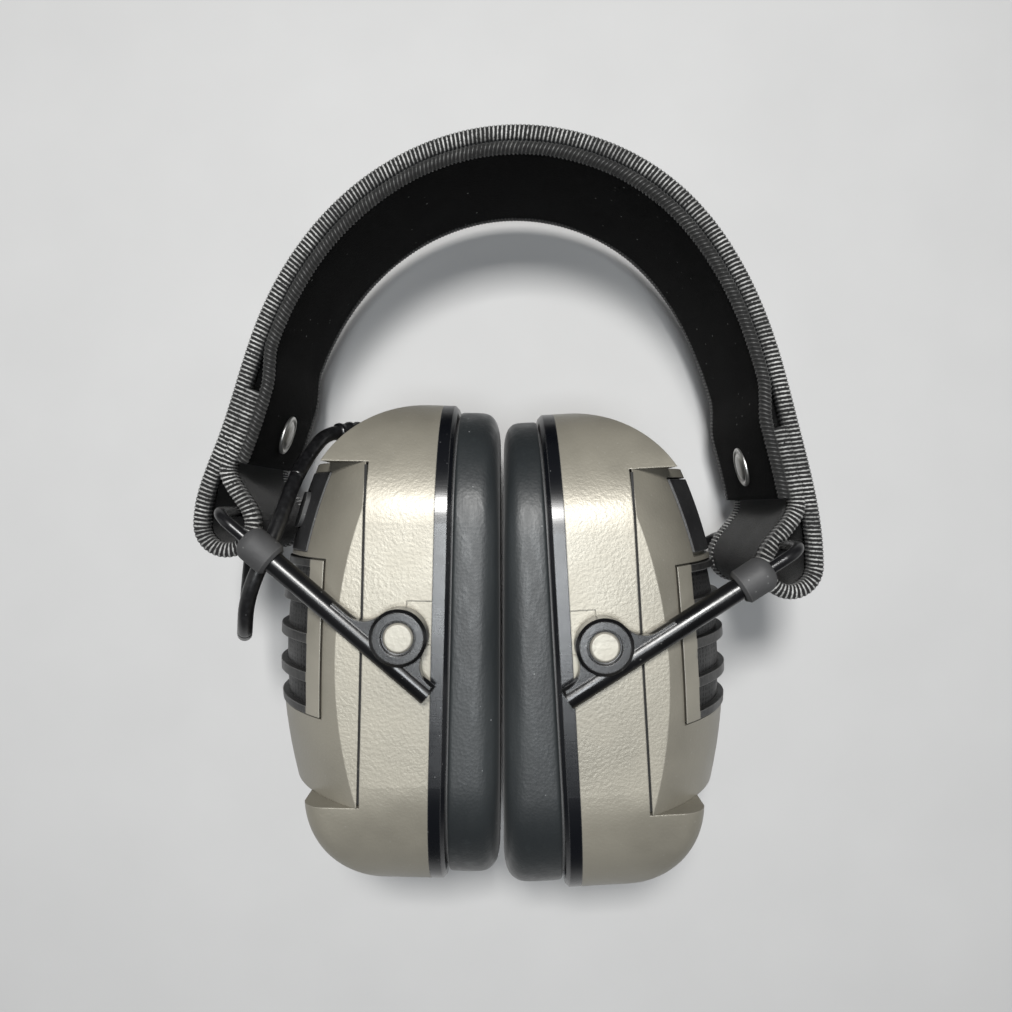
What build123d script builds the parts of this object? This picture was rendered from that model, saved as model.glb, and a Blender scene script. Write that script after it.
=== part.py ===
from build123d import *
from math import cos, radians, sin, tan
import os

# Electronic hearing protection earmuffs, folded flat and lying on their back.
# +X points to the right cup, +Y to the crown of the headband and +Z up, away from the floor.
# The front faces of the cups look along +Z. Lengths are in millimetres.

os.makedirs("parts", exist_ok=True)

# ---- driving dimensions -------------------------------------------------------------------
MIDDLE = 43.0  # height of the plane that splits front from back
HALF_WIDTH = 36.5  # cup, from the middle plane to a flat side panel
CUP_TOP = 49.8  # above the pivot
CUP_BOTTOM = -58.4
WALL = 2.2  # moulded shell thickness
JOIN_GAP = 0.5  # shadow gap between moulded shells

# How each side stands: out is the sign of "outward", pivot is the place of the arm's eyelet,
# arm is how far the sleeve slopes below the horizontal and tilt how far the cup leans.
SIDES = {
    "left": {"out": -1, "pivot": (-22.05, -24.0), "arm": 40.6, "tilt": 1.3},
    "right": {"out": 1, "pivot": (19.15, -25.8), "arm": 32.7, "tilt": 3.2},
}
CONTACT = -1.45  # X of the plane where the two cushions meet
CONTACT_GAP = 0.2

# Cup stations, measured outward from the pivot
CUSHION_DEEP = -24.5
PLATE_IN = -9.6
PLATE_OUT = -6.2
SHELL_IN = PLATE_OUT
SHELL_OUT = 7.9
COVER_IN = SHELL_OUT + JOIN_GAP
COVER_CREASE = 13.5
COVER_OUT = 31.5
DOME_RADIUS = 115.0  # bulge of the cover in the side view
DOME_LEVEL = -5.0
COVER_TOP = 35.4
COVER_BOTTOM = -36.0
END_DOME = 19.0  # how far out the rounded ends of the shell reach

# Arm, measured from the crossbar along the sleeve
WIRE = 1.25  # radius of the spring wire
WIRE_BEND = 4.0
COLLAR_RADIUS = 3.7
COLLAR_START = 7.7
COLLAR_END = 15.4
SLEEVE_RADIUS = 2.3
SLEEVE_START = 10.4
SLEEVE_END = 56.6
SLEEVE_BORE = 1.7
WEB_START = 30.0  # the flat web that joins the round tube to its eyelet
WEB_END = 56.0
WEB_TOP = 1.9
WEB_LOW = -1.2
EYE_ALONG = 44.5
EYE_OFFSET = 5.2
EYE_RADIUS = 5.8
PIN_RADIUS = 3.05
RUNNING = 0.05  # radial clearance of every sliding or turning fit
ARM_LEVEL = MIDDLE - COLLAR_RADIUS  # wire axes, from the middle plane
EYE_DEPTH = 5.9

# Headband
STRAP = 2.2
SPRING = 0.7
LINER = 1.9
LAYER_GAP = 0.1
STRAP_HALF = 25.6
BINDING = 1.0
LOOP_RADIUS = 5.6  # centre of the webbing where it turns round a crossbar
CABLE = 1.65  # radius of the cable


def frame_of(side):
    """The cup's own frame: x outward, y up the cup, z across it."""
    s = SIDES[side]
    lean = radians(s["tilt"])
    outward = (s["out"] * cos(lean), sin(lean), 0)
    return Plane(origin=(*s["pivot"], MIDDLE), x_dir=outward, z_dir=(0, 0, s["out"]))


def arm_of(side):
    """The arm's own frame: x down the sleeve from the crossbar, y towards the eyelet."""
    s = SIDES[side]
    slope = radians(s["arm"])
    down = Vector(-s["out"] * cos(slope), -sin(slope), 0)
    across = Vector(-s["out"] * sin(slope), cos(slope), 0)
    crossbar = Vector(*s["pivot"], MIDDLE) - down * EYE_ALONG - across * EYE_OFFSET
    return Plane(origin=crossbar, x_dir=down, z_dir=(0, 0, -s["out"]))


def save(name, piece, frame=Plane.XY):
    placed = piece.moved(frame.location)
    placed.label = name
    export_step(placed, f"parts/{name}.step")


def facing_out(station):
    """A plane across the cup at this station: sketch x runs up the cup, y across it."""
    return Plane(origin=(station, 0, 0), x_dir=(0, 1, 0), z_dir=(1, 0, 0))


CUP_MIDDLE = (CUP_TOP + CUP_BOTTOM) / 2
CUP_HEIGHT = CUP_TOP - CUP_BOTTOM
CORNER = 27.0


# ---- cup shells, in the cup's own frame -----------------------------------------------------
def cup_block(inset):
    """The shell as a solid block: flat sides, rounded plan and two domed ends."""
    with BuildPart() as block:
        with BuildSketch():
            with BuildLine():
                Polyline(
                    (END_DOME - inset - 1, COVER_TOP + inset),
                    (SHELL_OUT, COVER_TOP + inset),
                    (SHELL_OUT, COVER_BOTTOM - inset),
                    (END_DOME + 1 - inset, COVER_BOTTOM - inset),
                )
                ThreePointArc(
                    (END_DOME + 1 - inset, COVER_BOTTOM - inset),
                    (10.5 - inset / 2, CUP_BOTTOM + 4.6 + inset),
                    (SHELL_IN, CUP_BOTTOM + inset),
                )
                Line((SHELL_IN, CUP_BOTTOM + inset), (SHELL_IN, CUP_TOP - inset))
                ThreePointArc(
                    (SHELL_IN, CUP_TOP - inset),
                    (9.5 - inset / 2, CUP_TOP - 4.6 - inset),
                    (END_DOME - inset - 1, COVER_TOP + inset),
                )
            make_face()
        extrude(amount=HALF_WIDTH - inset, both=True)
        with BuildSketch(facing_out(SHELL_IN)):
            with Locations((CUP_MIDDLE, 0)):
                RectangleRounded(CUP_HEIGHT - 2 * inset, 2 * (HALF_WIDTH - inset), CORNER - inset)
        extrude(amount=END_DOME + 10, mode=Mode.INTERSECT)
        if inset == 0:
            domes = block.edges().filter_by_position(Axis.X, SHELL_OUT + 1, END_DOME + 1)
            crowns = [e for e in domes if abs(e.center().Y) > COVER_TOP + 3]
            fillet(crowns, radius=5.0)
    return block.part


def cover_dome(inset):
    """The outer cover as a solid dome with a crease along each flat side."""
    axis_x = COVER_OUT - DOME_RADIUS
    half_arc = 25
    start = Plane(
        origin=(axis_x, DOME_LEVEL, 0),
        x_dir=(cos(radians(half_arc)), -sin(radians(half_arc)), 0),
        z_dir=(-sin(radians(half_arc)), -cos(radians(half_arc)), 0),
    )
    foot = COVER_IN - axis_x
    crease = COVER_CREASE - axis_x - inset
    half = HALF_WIDTH - inset
    with BuildPart() as dome:
        with BuildSketch(start):
            with BuildLine():
                Polyline((crease, -half), (foot - 12, -half), (foot - 12, half), (crease, half))
                ThreePointArc((crease, half), (DOME_RADIUS - inset, 0), (crease, -half))
            make_face()
        revolve(
            axis=Axis((axis_x, DOME_LEVEL, 0), (0, 0, 1)),
            revolution_arc=2 * half_arc,
        )
        with BuildSketch():
            with Locations(((COVER_IN + 60) / 2, (COVER_TOP + COVER_BOTTOM) / 2)):
                Rectangle(60 - COVER_IN, COVER_TOP - COVER_BOTTOM - 2 * inset)
        extrude(amount=HALF_WIDTH + 1, both=True, mode=Mode.INTERSECT)
    return dome.part


def band(bottom, top, start, half_width=60.0):
    """A block that picks out one patch of the cover, from these heights and station outward."""
    with BuildPart() as block:
        with BuildSketch():
            with Locations(((start + 60) / 2, (bottom + top) / 2)):
                Rectangle(60 - start, top - bottom)
        extrude(amount=half_width, both=True)
    return block.part


def posts(station, reach, radius):
    """Four round posts at the corners, from this station outward."""
    with BuildPart() as four:
        with BuildSketch(facing_out(station)):
            with GridLocations(2 * SCREW_UP, 2 * SCREW_ACROSS, 2, 2):
                Circle(radius)
        extrude(amount=reach)
    return four.part


SCREW_UP = 27.0
SCREW_ACROSS = 31.3
PANEL_SEAT = 1.1  # depth of the seats for the grille and the dark panel
GROOVE = 0.4
GRILLE = (-18.7, 14.8)  # heights of the grille frame
GRILLE_START = 16.6
LOUVRE_START = 20.6  # the plain strip of the frame ends here
LOUVRES = (-10.4, -2.2, 6.0)
LOUVRE = 2.1
PANEL = (15.8, 33.4)  # heights of the dark panel
PANEL_START = 16.0
PANEL_HALF = 25.0
PAD_GAP = 0.12
DOOR_LIP = 1.0  # finger gap below the battery door
BUTTON_UP = 25.0
BUTTON_SPACING = 14.0
BUTTON = (8.0, 9.0)
BUTTON_PROUD = 0.9
BUTTON_TRAVEL = 0.8

with BuildPart() as base_shell:
    add(cup_block(0))
    add(cup_block(WALL), mode=Mode.SUBTRACT)
    add(posts(3.2, SHELL_OUT - 3.2, 3.2))
    add(posts(3.0, SHELL_OUT, 1.35), mode=Mode.SUBTRACT)
    with Locations((0, 0, HALF_WIDTH - WALL - 1.5), (0, 0, -HALF_WIDTH + WALL + 1.5)):
        Cylinder(radius=4.2, height=3.2)
    Cylinder(radius=1.8, height=2 * HALF_WIDTH + 2, mode=Mode.SUBTRACT)
    # shallow recess in each flat panel, beside the base plate
    with Locations((SHELL_IN + 2.6, 2.4, HALF_WIDTH), (SHELL_IN + 2.6, 2.4, -HALF_WIDTH)):
        Box(5.2, 9.0, 1.0, mode=Mode.SUBTRACT)


def outer_cover(grille_hole, panel_hole):
    """The outer cover: seats for the grille and the panel, screw posts and two openings."""
    seat = cover_dome(PANEL_SEAT)
    with BuildPart() as grille_seat:
        add(band(*GRILLE, GRILLE_START))
        add(seat, mode=Mode.SUBTRACT)
    with BuildPart() as panel_seat:
        add(band(*PANEL, PANEL_START, PANEL_HALF))
        add(seat, mode=Mode.SUBTRACT)
    with BuildPart() as post_block:
        add(posts(COVER_IN, 6.0, 3.2))
        add(cover_dome(WALL / 2), mode=Mode.INTERSECT)
    with BuildPart() as cover:
        add(cover_dome(0))
        add(cover_dome(WALL), mode=Mode.SUBTRACT)
        add(post_block.part)
        add(posts(COVER_IN - 1, 4.2, 1.2), mode=Mode.SUBTRACT)
        add(grille_seat.part, mode=Mode.SUBTRACT)
        add(panel_seat.part, mode=Mode.SUBTRACT)
        add(grille_hole, mode=Mode.SUBTRACT)
        add(panel_hole, mode=Mode.SUBTRACT)
    return cover.part


def button_block(clearance, proud, place):
    """One oblong button, cut to the curve of the cover."""
    up, across = BUTTON
    with BuildPart() as block:
        add(cover_dome(-proud))
        with BuildSketch(facing_out(10)):
            with Locations((BUTTON_UP, place * BUTTON_SPACING)):
                RectangleRounded(up + 2 * clearance, across + 2 * clearance, 2.5 + clearance)
        extrude(amount=60, mode=Mode.INTERSECT)
        with BuildSketch():
            with Locations((18 - 25, 0)):
                Rectangle(50, 100)
        extrude(amount=60, both=True, mode=Mode.SUBTRACT)
    return block.part


grille_hole = band(GRILLE[0] + 1.5, GRILLE[1] - 1.5, LOUVRE_START - 0.2)
with BuildPart() as button_holes:
    for place in (-1, 0, 1):
        add(button_block(0.3, 5.0, place))
LEDGE = 2.0  # what the battery door rests on, beside and below its opening
with BuildPart() as battery_hole:
    add(band(PANEL[0] + LEDGE, PANEL[1] - LEDGE, PANEL_START, PANEL_HALF - LEDGE))
    add(band(PANEL[1] - 3 * LEDGE, PANEL[1], PANEL_START, PANEL_HALF))
COVERS = {
    "left": outer_cover(grille_hole, button_holes.part),
    "right": outer_cover(grille_hole, battery_hole.part),
}

with BuildPart() as grille_frame:
    add(cover_dome(-0.35))
    add(band(GRILLE[0] + GROOVE, GRILLE[1] - GROOVE, GRILLE_START + GROOVE), mode=Mode.INTERSECT)
    add(cover_dome(PANEL_SEAT), mode=Mode.SUBTRACT)
    edges_up = [GRILLE[0] + GROOVE + 1.6]
    for height in LOUVRES:
        edges_up += [height - LOUVRE / 2, height + LOUVRE / 2]
    edges_up.append(GRILLE[1] - GROOVE - 1.6)
    for low, high in zip(edges_up[0::2], edges_up[1::2]):
        add(band(low, high, LOUVRE_START), mode=Mode.SUBTRACT)

with BuildPart() as grille_mesh:
    add(cover_dome(PANEL_SEAT + 0.03))
    add(band(GRILLE[0] + 1.6, GRILLE[1] - 1.6, LOUVRE_START - 0.1), mode=Mode.INTERSECT)
    add(cover_dome(PANEL_SEAT + 0.6), mode=Mode.SUBTRACT)


def dark_panel(clearance, below):
    """The panel above the grille, seated in the cover and flush with it."""
    with BuildPart() as panel:
        add(cover_dome(-0.2))
        lower, upper = PANEL
        add(
            band(lower + below, upper - clearance, PANEL_START, PANEL_HALF - clearance),
            mode=Mode.INTERSECT,
        )
        add(cover_dome(PANEL_SEAT), mode=Mode.SUBTRACT)
    return panel.part


with BuildPart() as control_pad:
    add(dark_panel(PAD_GAP, PAD_GAP))
    add(button_holes.part, mode=Mode.SUBTRACT)

with BuildPart() as cover_seal:
    with BuildSketch(facing_out(SHELL_OUT)):
        with Locations(((COVER_TOP + COVER_BOTTOM) / 2, 0)):
            Rectangle(COVER_TOP - COVER_BOTTOM - 1.4, 2 * HALF_WIDTH - 1.4)
            Rectangle(COVER_TOP - COVER_BOTTOM - 4.4, 2 * HALF_WIDTH - 4.4, mode=Mode.SUBTRACT)
    extrude(amount=JOIN_GAP)

with BuildPart() as cover_screws:
    add(posts(0.9, 2.3, 2.4))
    add(posts(3.2, 7.8, 1.2))

with BuildPart() as base_plate:
    with BuildSketch(facing_out(PLATE_IN)):
        with Locations((CUP_MIDDLE, 0)):
            RectangleRounded(CUP_HEIGHT, 2 * HALF_WIDTH, CORNER)
            RectangleRounded(70, 44, 21, mode=Mode.SUBTRACT)
    extrude(amount=PLATE_OUT - PLATE_IN)
    chamfer(base_plate.faces().sort_by(Axis.X)[0].outer_wire().edges(), length=0.8)

RING = 1.3
with BuildPart() as cushion_ring:
    with BuildSketch(facing_out(PLATE_IN - RING)):
        with Locations((CUP_MIDDLE, 0)):
            RectangleRounded(CUP_HEIGHT - 7, 2 * HALF_WIDTH - 7, CORNER - 3.5)
            RectangleRounded(72, 46, 22, mode=Mode.SUBTRACT)
    extrude(amount=RING)

with BuildPart() as cushion_block:
    with BuildSketch(facing_out(PLATE_IN - RING)):
        with Locations((CUP_MIDDLE, 0)):
            RectangleRounded(CUP_HEIGHT - 3, 2 * HALF_WIDTH - 3, CORNER - 1.5)
            RectangleRounded(64, 38, 18, mode=Mode.SUBTRACT)
    extrude(amount=CUSHION_DEEP - PLATE_IN)


def ear_cushion(side):
    """The cushion, pressed flat against the other cushion at the contact plane."""
    out = SIDES[side]["out"]
    face = Plane(origin=(CONTACT + out * CONTACT_GAP, 0, MIDDLE), z_dir=(out, 0, 0))
    with BuildPart() as cushion:
        add(cushion_block.part.moved(frame_of(side).location))
        split(bisect_by=face, keep=Keep.TOP)
        pressed = cushion.faces().sort_by(Axis.X)[0 if out > 0 else -1]
        fillet(pressed.outer_wire().edges(), radius=4.0)
    return cushion.part


with BuildPart() as foam_liner:
    with BuildSketch(facing_out(-3.0)):
        with Locations((CUP_MIDDLE, 0)):
            RectangleRounded(CUP_HEIGHT - 12, 2 * HALF_WIDTH - 12, CORNER - 6)
    extrude(amount=3.6)

with BuildPart() as speaker:
    with BuildSketch(facing_out(0.8)):
        Circle(19.0)
    extrude(amount=3.0)
    with BuildSketch(facing_out(3.8)):
        Circle(11.0)
    extrude(amount=3.6)

BOARD = (8.6, 1.4)
with BuildPart() as circuit_board:
    with BuildSketch(facing_out(BOARD[0])):
        Rectangle(64, 50)
    extrude(amount=BOARD[1])
    for station, up, across, size in ((10.0, -18, 8, 7), (10.0, -16, -10, 9)):
        with BuildSketch(facing_out(station)):
            with Locations((up, across)):
                Rectangle(size, size)
        extrude(amount=1.2)

with BuildPart() as microphone:
    with BuildSketch(facing_out(10.0)):
        with Locations((-6, 0)):
            Circle(1.5)
    extrude(amount=14)
    with BuildSketch(facing_out(24.0)):
        with Locations((-6, 0)):
            Circle(3.2)
    extrude(amount=4.2)

CELL_RADIUS = 5.2
CELL_HALF = 22.2
CELLS = ((15.4, 7.6), (15.4, 18.4))
with BuildPart() as batteries:
    with BuildSketch(Plane.XY.offset(-CELL_HALF)):
        with Locations(*CELLS):
            Circle(CELL_RADIUS)
    extrude(amount=2 * CELL_HALF)
    with BuildSketch(Plane.XY.offset(CELL_HALF)):
        with Locations(*CELLS):
            Circle(1.8)
    extrude(amount=0.9)

with BuildPart() as battery_tray:
    with BuildSketch():
        with Locations((12.9, 13.5)):
            Rectangle(5.6, 23.5)
        with Locations(*CELLS):
            Circle(CELL_RADIUS + 0.1, mode=Mode.SUBTRACT)
    extrude(amount=CELL_HALF + 2, both=True)

with BuildPart() as pivot_pins:
    for end in (1, -1):
        with BuildSketch(Plane(origin=(0, 0, end * HALF_WIDTH), z_dir=(0, 0, end))):
            Circle(PIN_RADIUS)
        extrude(amount=MIDDLE - HALF_WIDTH - 0.5)
        with BuildSketch(Plane(origin=(0, 0, end * (HALF_WIDTH - 4.5)), z_dir=(0, 0, end))):
            Circle(1.8)
        extrude(amount=4.5)
    rims = pivot_pins.edges().filter_by(GeomType.CIRCLE)
    chamfer([rims.sort_by(Axis.Z)[0], rims.sort_by(Axis.Z)[-1]], length=0.4)


# ---- arms, in the arm's own frame -----------------------------------------------------------
ARM_PLANE = Plane.XY.offset(ARM_LEVEL)

with BuildPart() as sleeve:
    with BuildSketch(ARM_PLANE.offset(-1.9)) as web:
        with Locations((EYE_ALONG, EYE_OFFSET)):
            Circle(EYE_RADIUS)
        with Locations(((WEB_START + WEB_END) / 2, (WEB_TOP + WEB_LOW) / 2)):
            Rectangle(WEB_END - WEB_START, WEB_TOP - WEB_LOW)
        inner = web.vertices().filter_by_position(Axis.Y, WEB_TOP - 0.1, WEB_TOP + 0.1)
        joints = [v for v in inner if WEB_START + 2 < v.X < WEB_END - 2]
        fillet(joints, radius=5.0)
    extrude(amount=3.8)
    with BuildSketch(Plane.XY.offset(MIDDLE)):
        with Locations((EYE_ALONG, EYE_OFFSET)):
            Circle(EYE_RADIUS)
    extrude(amount=-EYE_DEPTH)
    with BuildSketch(Plane(origin=(SLEEVE_START, 0, ARM_LEVEL), z_dir=(1, 0, 0))):
        Circle(SLEEVE_RADIUS)
    extrude(amount=SLEEVE_END - SLEEVE_START)
    ring = [
        e
        for e in sleeve.edges().filter_by(GeomType.CIRCLE)
        if abs(e.center().Z - MIDDLE) < 0.01
    ]
    chamfer(ring, length=0.7)
    with BuildSketch(Plane.XY.offset(MIDDLE)):
        with Locations((EYE_ALONG, EYE_OFFSET)):
            Circle(PIN_RADIUS + RUNNING)
    extrude(amount=-EYE_DEPTH, mode=Mode.SUBTRACT)
    with BuildSketch(Plane.XY.offset(MIDDLE)):
        with Locations((EYE_ALONG, EYE_OFFSET)):
            Circle(PIN_RADIUS + 0.45)
    extrude(amount=-1.4, mode=Mode.SUBTRACT)
    with BuildSketch(Plane(origin=(SLEEVE_START, 0, ARM_LEVEL), z_dir=(1, 0, 0))):
        Circle(SLEEVE_BORE)
    extrude(amount=SLEEVE_END - SLEEVE_START - 1.0, mode=Mode.SUBTRACT)


def collar_at(end):
    """Rubber collar over the mouth of a sleeve, rounded towards the crossbar."""
    nose = 2.6
    with BuildPart() as collar:
        with BuildSketch(Plane(origin=(0, 0, end * ARM_LEVEL), z_dir=(0, 0, 1))):
            with BuildLine():
                Polyline(
                    (COLLAR_START, WIRE + RUNNING),
                    (SLEEVE_START, WIRE + RUNNING),
                    (SLEEVE_START, SLEEVE_RADIUS),
                    (COLLAR_END, SLEEVE_RADIUS),
                    (COLLAR_END, COLLAR_RADIUS - 0.7),
                    (COLLAR_END - 0.7, COLLAR_RADIUS),
                    (COLLAR_START + nose, COLLAR_RADIUS),
                )
                ThreePointArc(
                    (COLLAR_START + nose, COLLAR_RADIUS),
                    (COLLAR_START + 0.55, COLLAR_RADIUS - 0.85),
                    (COLLAR_START, WIRE + RUNNING + 0.5),
                )
                Line((COLLAR_START, WIRE + RUNNING + 0.5), (COLLAR_START, WIRE + RUNNING))
            make_face()
        revolve(axis=Axis((0, 0, end * ARM_LEVEL), (1, 0, 0)))
    return collar.part


with BuildPart() as collars:
    for end in (1, -1):
        add(collar_at(end))

WIRE_END = 54.0
with BuildPart() as stirrup:
    with BuildLine(Plane.XZ) as bow:
        FilletPolyline(
            (WIRE_END, ARM_LEVEL),
            (0, ARM_LEVEL),
            (0, -ARM_LEVEL),
            (WIRE_END, -ARM_LEVEL),
            radius=WIRE_BEND,
        )
    with BuildSketch(Plane(origin=bow.wire() @ 0, z_dir=bow.wire() % 0)):
        Circle(WIRE)
    sweep()

with BuildPart() as wire_stops:
    for end in (1, -1):
        with BuildSketch(Plane(origin=(WIRE_END - 3, 0, end * ARM_LEVEL), z_dir=(1, 0, 0))):
            Circle(SLEEVE_BORE - RUNNING)
            Circle(WIRE, mode=Mode.SUBTRACT)
        extrude(amount=3.0)


# ---- headband -------------------------------------------------------------------------------
LEFT_LOOP = Vector(-61.25, -1.7, MIDDLE)  # centres of the turned ends of the webbing
RIGHT_LOOP = Vector(61.25, -10.8, MIDDLE)
TURN = Vector(LOOP_RADIUS, 0, 0)
LEFT_SNAP = 24.4  # along the webbing from each loop
RIGHT_SNAP = 24.5

with BuildLine() as crown:
    Spline(
        LEFT_LOOP - TURN,
        (-61.65, 16.5, MIDDLE),
        (-52.85, 42.9, MIDDLE),
        (-32.55, 70.8, MIDDLE),
        (-0.55, 83.5, MIDDLE),
        (34.45, 72.4, MIDDLE),
        (56.35, 38.3, MIDDLE),
        (61.35, 20.2, MIDDLE),
        RIGHT_LOOP + TURN,
        tangents=((0, 1, 0), (0, -1, 0)),
    )
CROWN = crown.edges()[0]


def along(distance):
    """The webbing's direction, this far from the left loop."""
    return CROWN.tangent_at(distance, position_mode=PositionMode.LENGTH)


def inside(distance, inset):
    """The point this far along the webbing from the left loop, and this far inside it."""
    point = CROWN.position_at(distance, position_mode=PositionMode.LENGTH)
    return point + Vector(along(distance).Y, -along(distance).X, 0) * inset


def layer_path(inset, first, last, count=15):
    """A smooth line inside the webbing; inset gives its depth at each distance along it."""
    step = (last - first) / (count - 1)
    places = [first + step * i for i in range(count)]
    return Spline([inside(place, inset(place)) for place in places])


def liner_inset(place):
    """The liner runs over both returned ends and sinks back onto the spring between them."""
    from_end = min(place, RUN - place)
    share = min(max((from_end - LEFT_SNAP - FLAP_END - 1) / 11, 0), 1)
    sunk = share * share * (3 - 2 * share)
    return TUCKED_INSET + (LINER_INSET - TUCKED_INSET) * sunk


def swept(path, pieces):
    """Sweep flat sections along a path; each piece is its thickness, width and centre height."""
    with BuildPart() as body:
        with BuildSketch(Plane(origin=path @ 0, x_dir=(0, 0, 1), z_dir=path % 0)):
            for thickness, width, height in pieces:
                with Locations((height, 0)):
                    Rectangle(width, thickness)
        sweep(path=path)
    return body.part


SPRING_INSET = STRAP / 2 + LAYER_GAP + SPRING / 2
LINER_INSET = STRAP / 2 + SPRING + LINER / 2 + 2 * LAYER_GAP
FLAP_INSET = STRAP + 2.5 * LAYER_GAP
FLAP_END = 7.0  # how far the returned end runs past the snap
TUCKED_INSET = FLAP_INSET + STRAP / 2 + LINER / 2 + 4 * LAYER_GAP  # liner over the returned end
FLAP_LEVEL = 14.0  # where the returned end comes to lie along the webbing
SPRING_START = 46.0
LINER_START = 16.0  # both ends of the liner, from the loops
RUN = CROWN.length
DOWN = Vector(0, -1, 0)
UP = Vector(0, 1, 0)

with BuildLine() as webbing:
    Spline(
        inside(LEFT_SNAP + FLAP_END, FLAP_INSET),
        inside(LEFT_SNAP, FLAP_INSET),
        inside(FLAP_LEVEL + 4, FLAP_INSET),
        inside(FLAP_LEVEL, FLAP_INSET + LAYER_GAP),
        LEFT_LOOP + TURN,
        tangents=(-along(LEFT_SNAP + FLAP_END), DOWN),
    )
    ThreePointArc(LEFT_LOOP + TURN, LEFT_LOOP + DOWN * LOOP_RADIUS, LEFT_LOOP - TURN)
    add(CROWN)
    ThreePointArc(RIGHT_LOOP + TURN, RIGHT_LOOP + DOWN * LOOP_RADIUS, RIGHT_LOOP - TURN)
    Spline(
        RIGHT_LOOP - TURN,
        inside(RUN - FLAP_LEVEL, FLAP_INSET + LAYER_GAP),
        inside(RUN - FLAP_LEVEL - 4, FLAP_INSET),
        inside(RUN - RIGHT_SNAP, FLAP_INSET),
        inside(RUN - RIGHT_SNAP - FLAP_END, FLAP_INSET),
        tangents=(UP, -along(RUN - RIGHT_SNAP - FLAP_END)),
    )
WEBBING = webbing.wire()

with BuildLine() as spring_line:
    layer_path(lambda place: SPRING_INSET, SPRING_START, RUN - SPRING_START)

with BuildLine() as liner_line:
    layer_path(liner_inset, LINER_START, RUN - LINER_START, 41)

rim_height = STRAP_HALF + BINDING / 2
SNAP_RADIUS = 4.8
SNAP_POST = 1.4
CAP_THICK = 1.0
STUD_THICK = 0.6
STUD_RADIUS = 4.0
STUD_INSET = -STRAP / 2 - LAYER_GAP - STUD_THICK
CAP_INSET = TUCKED_INSET + LINER / 2 + 2 * LAYER_GAP
SNAPS = {"left": LEFT_SNAP, "right": RUN - RIGHT_SNAP}


def snap_plane(distance, inset):
    """A plane square to the webbing at a snap, facing the head."""
    middle = inside(distance, 0)
    towards_head = inside(distance, 1) - middle
    return Plane(origin=middle + towards_head * inset, z_dir=towards_head)


def snap_posts(radius):
    """Round posts through the layers that each snap holds."""
    with BuildPart() as both:
        for distance in SNAPS.values():
            with BuildSketch(snap_plane(distance, STUD_INSET)):
                Circle(radius)
            extrude(amount=CAP_INSET + CAP_THICK / 2 - STUD_INSET)
    return both.part


with BuildPart() as headband_strap:
    add(swept(WEBBING, [(STRAP, 2 * STRAP_HALF, 0)]))
    add(snap_posts(SNAP_POST + LAYER_GAP), mode=Mode.SUBTRACT)

with BuildPart() as headband_liner:
    add(swept(liner_line.wire(), [(LINER, 2 * STRAP_HALF - 2, 0)]))
    add(snap_posts(SNAP_POST + LAYER_GAP), mode=Mode.SUBTRACT)

strap_binding = swept(
    WEBBING,
    [(STRAP, BINDING, rim_height), (STRAP, BINDING, -rim_height)],
)
liner_binding = swept(
    liner_line.wire(),
    [(LINER, BINDING, rim_height - 1), (LINER, BINDING, 1 - rim_height)],
)
headband_spring = swept(spring_line.wire(), [(SPRING, 38.0, 0)])

with BuildPart() as snap_caps:
    add(snap_posts(SNAP_POST))
    for distance in SNAPS.values():
        with BuildSketch(snap_plane(distance, CAP_INSET)):
            Circle(SNAP_RADIUS)
        extrude(amount=CAP_THICK)
    for distance in SNAPS.values():
        crest = inside(distance, CAP_INSET + CAP_THICK)
        rims = snap_caps.edges().filter_by(GeomType.CIRCLE)
        fillet(rims.sort_by_distance(crest)[0], radius=0.4)

with BuildPart() as snap_studs:
    for distance in SNAPS.values():
        with BuildSketch(snap_plane(distance, STUD_INSET)):
            Circle(STUD_RADIUS)
            Circle(SNAP_POST + LAYER_GAP, mode=Mode.SUBTRACT)
        extrude(amount=STUD_THICK)


# ---- cable ----------------------------------------------------------------------------------
CABLE_ROUTE = [
    (-24.0, 17.0, 37.5),
    (-41.0, 23.1, 45.0),
    (-46.6, 11.8, 62.0),
    (-49.0, -4.0, 75.5),
    (-54.5, -16.0, 76.5),
    (-57.5, -26.5, 67.5),
    (-61.5, -26.0, 52.5),
    (-62.8, -14.5, 45.0),
    (-62.0, -2.2, 43.0),
]


def bend_radii(route):
    """The largest radius each corner of the route takes."""
    radii = []
    for before, corner, after in zip(route, route[1:], route[2:]):
        run_in = Vector(*corner) - Vector(*before)
        run_out = Vector(*after) - Vector(*corner)
        half_turn = radians(run_in.get_angle(run_out)) / 2
        radii.append(0.45 * min(run_in.length, run_out.length) / tan(half_turn))
    return radii


with BuildPart() as left_cable:
    with BuildLine() as route:
        FilletPolyline(*CABLE_ROUTE, radius=bend_radii(CABLE_ROUTE))
    with BuildSketch(Plane(origin=route.wire() @ 0, z_dir=route.wire() % 0)):
        Circle(CABLE)
    sweep()

GLAND = 3.3
GLAND_START = 7.2  # from the start of the cable, in the wall of the shell
gland_start = Vector(*CABLE_ROUTE[0])
gland_way = (Vector(*CABLE_ROUTE[1]) - gland_start).normalized()
with BuildPart() as cable_gland:
    with BuildSketch(Plane(origin=gland_start + gland_way * GLAND_START, z_dir=gland_way)):
        Circle(GLAND)
        Circle(CABLE, mode=Mode.SUBTRACT)
    extrude(amount=6.0)

with BuildPart() as cabled_shell:
    add(base_shell.part.moved(frame_of("left").location))
    with BuildSketch(Plane(origin=gland_start, z_dir=gland_way)):
        Circle(GLAND)
    extrude(amount=22, mode=Mode.SUBTRACT)

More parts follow.
